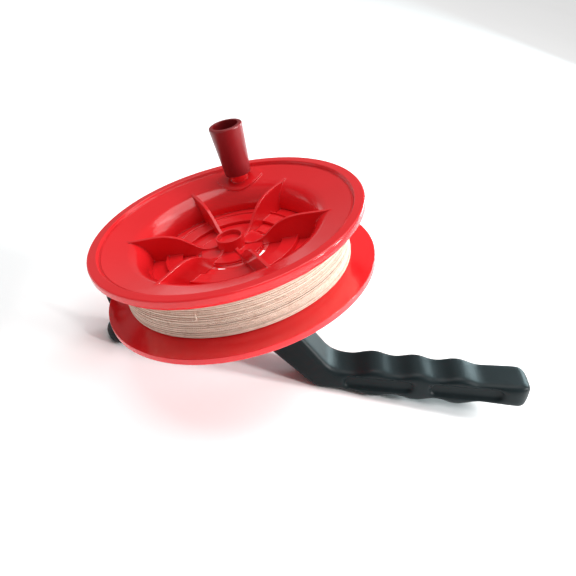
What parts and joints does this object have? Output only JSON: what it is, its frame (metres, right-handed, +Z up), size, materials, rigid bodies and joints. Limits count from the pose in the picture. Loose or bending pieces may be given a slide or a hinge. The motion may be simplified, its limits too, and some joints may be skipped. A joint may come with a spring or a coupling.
{
  "type": "kite line winder",
  "caption": "Hand-held kite line winder: a dished, ribbed spool of line on a bent finger grip, with a hollow crank knob and an eye that guides the line.",
  "frame": {"origin": "middle of the box's footprint, on the surface that the winder stands on", "axes": "+Z up from the table, with the winder standing on the foot under its line guide and on its knee; +X from the line guide towards the grip; the axle leans 26 degrees from +Z towards -X"},
  "size_m": [0.2867, 0.16, 0.1324],
  "materials": {
    "handle": "black moulded plastic, satin, with a faint blue-green tint",
    "spool": "bright red moulded plastic, glossy",
    "knob": "darker red moulded plastic, satin to glossy",
    "line": "off-white twisted synthetic line",
    "steel": "zinc-plated steel",
    "washer": "natural nylon",
    "bush": "natural acetal"
  },
  "bodies": {
    "handle": {"handle_body": "handle", "line_guide": "handle", "guide_eyelet": "steel", "guide_screw": "steel", "arm_washer": "washer", "axle_bolt": "steel", "axle_nut": "steel", "head_washer": "steel"},
    "spool": {"spool_top_half": "spool", "spool_bottom_half": "spool", "lower_bush": "bush", "upper_bush": "bush", "hub_cap": "spool", "line_core": "line", "line_winding": "line", "crank_washer": "steel", "crank_screw": "steel"},
    "crank_knob": {"crank_sleeve": "knob"}
  },
  "joints": [
    {"name": "spool_spin", "type": "hinge", "parent": "handle", "child": "spool", "pos_m": [-0.06296, 0, 0.07955], "axis": [-0.4391, 0, 0.8984], "continuous": true},
    {"name": "knob_spin", "type": "hinge", "parent": "spool", "child": "crank_knob", "pos_m": [-0.06987, 0.06236, 0.09866], "axis": [-0.4391, 0, 0.8984], "continuous": true}
  ]
}
